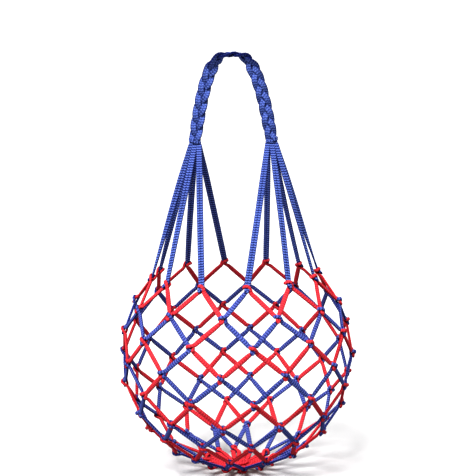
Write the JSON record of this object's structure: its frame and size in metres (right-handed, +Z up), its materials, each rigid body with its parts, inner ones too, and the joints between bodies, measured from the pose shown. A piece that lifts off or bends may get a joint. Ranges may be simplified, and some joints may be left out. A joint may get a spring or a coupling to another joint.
{
  "type": "mesh ball bag",
  "caption": "Hand-knotted red and blue net bag that holds a ball, with doubled cord straps gathered into an arched plaited carrying handle.",
  "frame": {"origin": "centre of the flat underside of the base knot, on the bag's vertical axis", "axes": "+Z up through the handle, +X along the handle's span from the left gather to the right gather, -Y towards the front"},
  "size_m": [0.2584, 0.2584, 0.4565],
  "materials": {
    "plait_cord": "matte flat woven polyester cord, royal blue",
    "wrap_cord": "matte flat woven polyester cord, royal blue",
    "strap_cord": "matte flat cord with a fine ladder rib, royal blue",
    "blue_twine": "matte braided net twine, royal blue",
    "red_twine": "matte braided net twine, bright red"
  },
  "bodies": {
    "handle": {"braid_strand_1": "plait_cord", "braid_strand_2": "plait_cord", "braid_strand_3": "plait_cord", "gather_wrap_left": "wrap_cord", "gather_wrap_right": "wrap_cord"},
    "straps": {"strap_left_1": "strap_cord", "strap_left_2": "strap_cord", "strap_left_3": "strap_cord", "strap_left_4": "strap_cord", "strap_left_5": "strap_cord", "strap_left_6": "strap_cord", "strap_right_1": "strap_cord", "strap_right_2": "strap_cord", "strap_right_3": "strap_cord", "strap_right_4": "strap_cord", "strap_right_5": "strap_cord", "strap_right_6": "strap_cord"},
    "net": {"net_row_1_red": "red_twine", "net_row_2_blue": "blue_twine", "net_row_3_red": "red_twine", "net_row_4_blue": "blue_twine", "net_row_5_red": "red_twine", "net_row_6_blue": "blue_twine", "net_row_7_red": "red_twine", "net_row_8_blue": "blue_twine", "net_row_9_red": "red_twine", "base_knot": "red_twine"}
  },
  "joints": [
    {"name": "bag_swing", "type": "hinge", "parent": "handle", "child": "straps", "pos_m": [0, 0, 0.3575], "axis": [1, 0, 0], "range_deg": [-75, 75]},
    {"name": "strap_slack", "type": "slide", "parent": "straps", "child": "net", "axis": [0, 0, 1], "range_m": [0, 0.09], "deforming": ["strap_left_1", "strap_left_2", "strap_left_3", "strap_left_4", "strap_left_5", "strap_left_6", "strap_right_1", "strap_right_2", "strap_right_3", "strap_right_4", "strap_right_5", "strap_right_6"]}
  ]
}
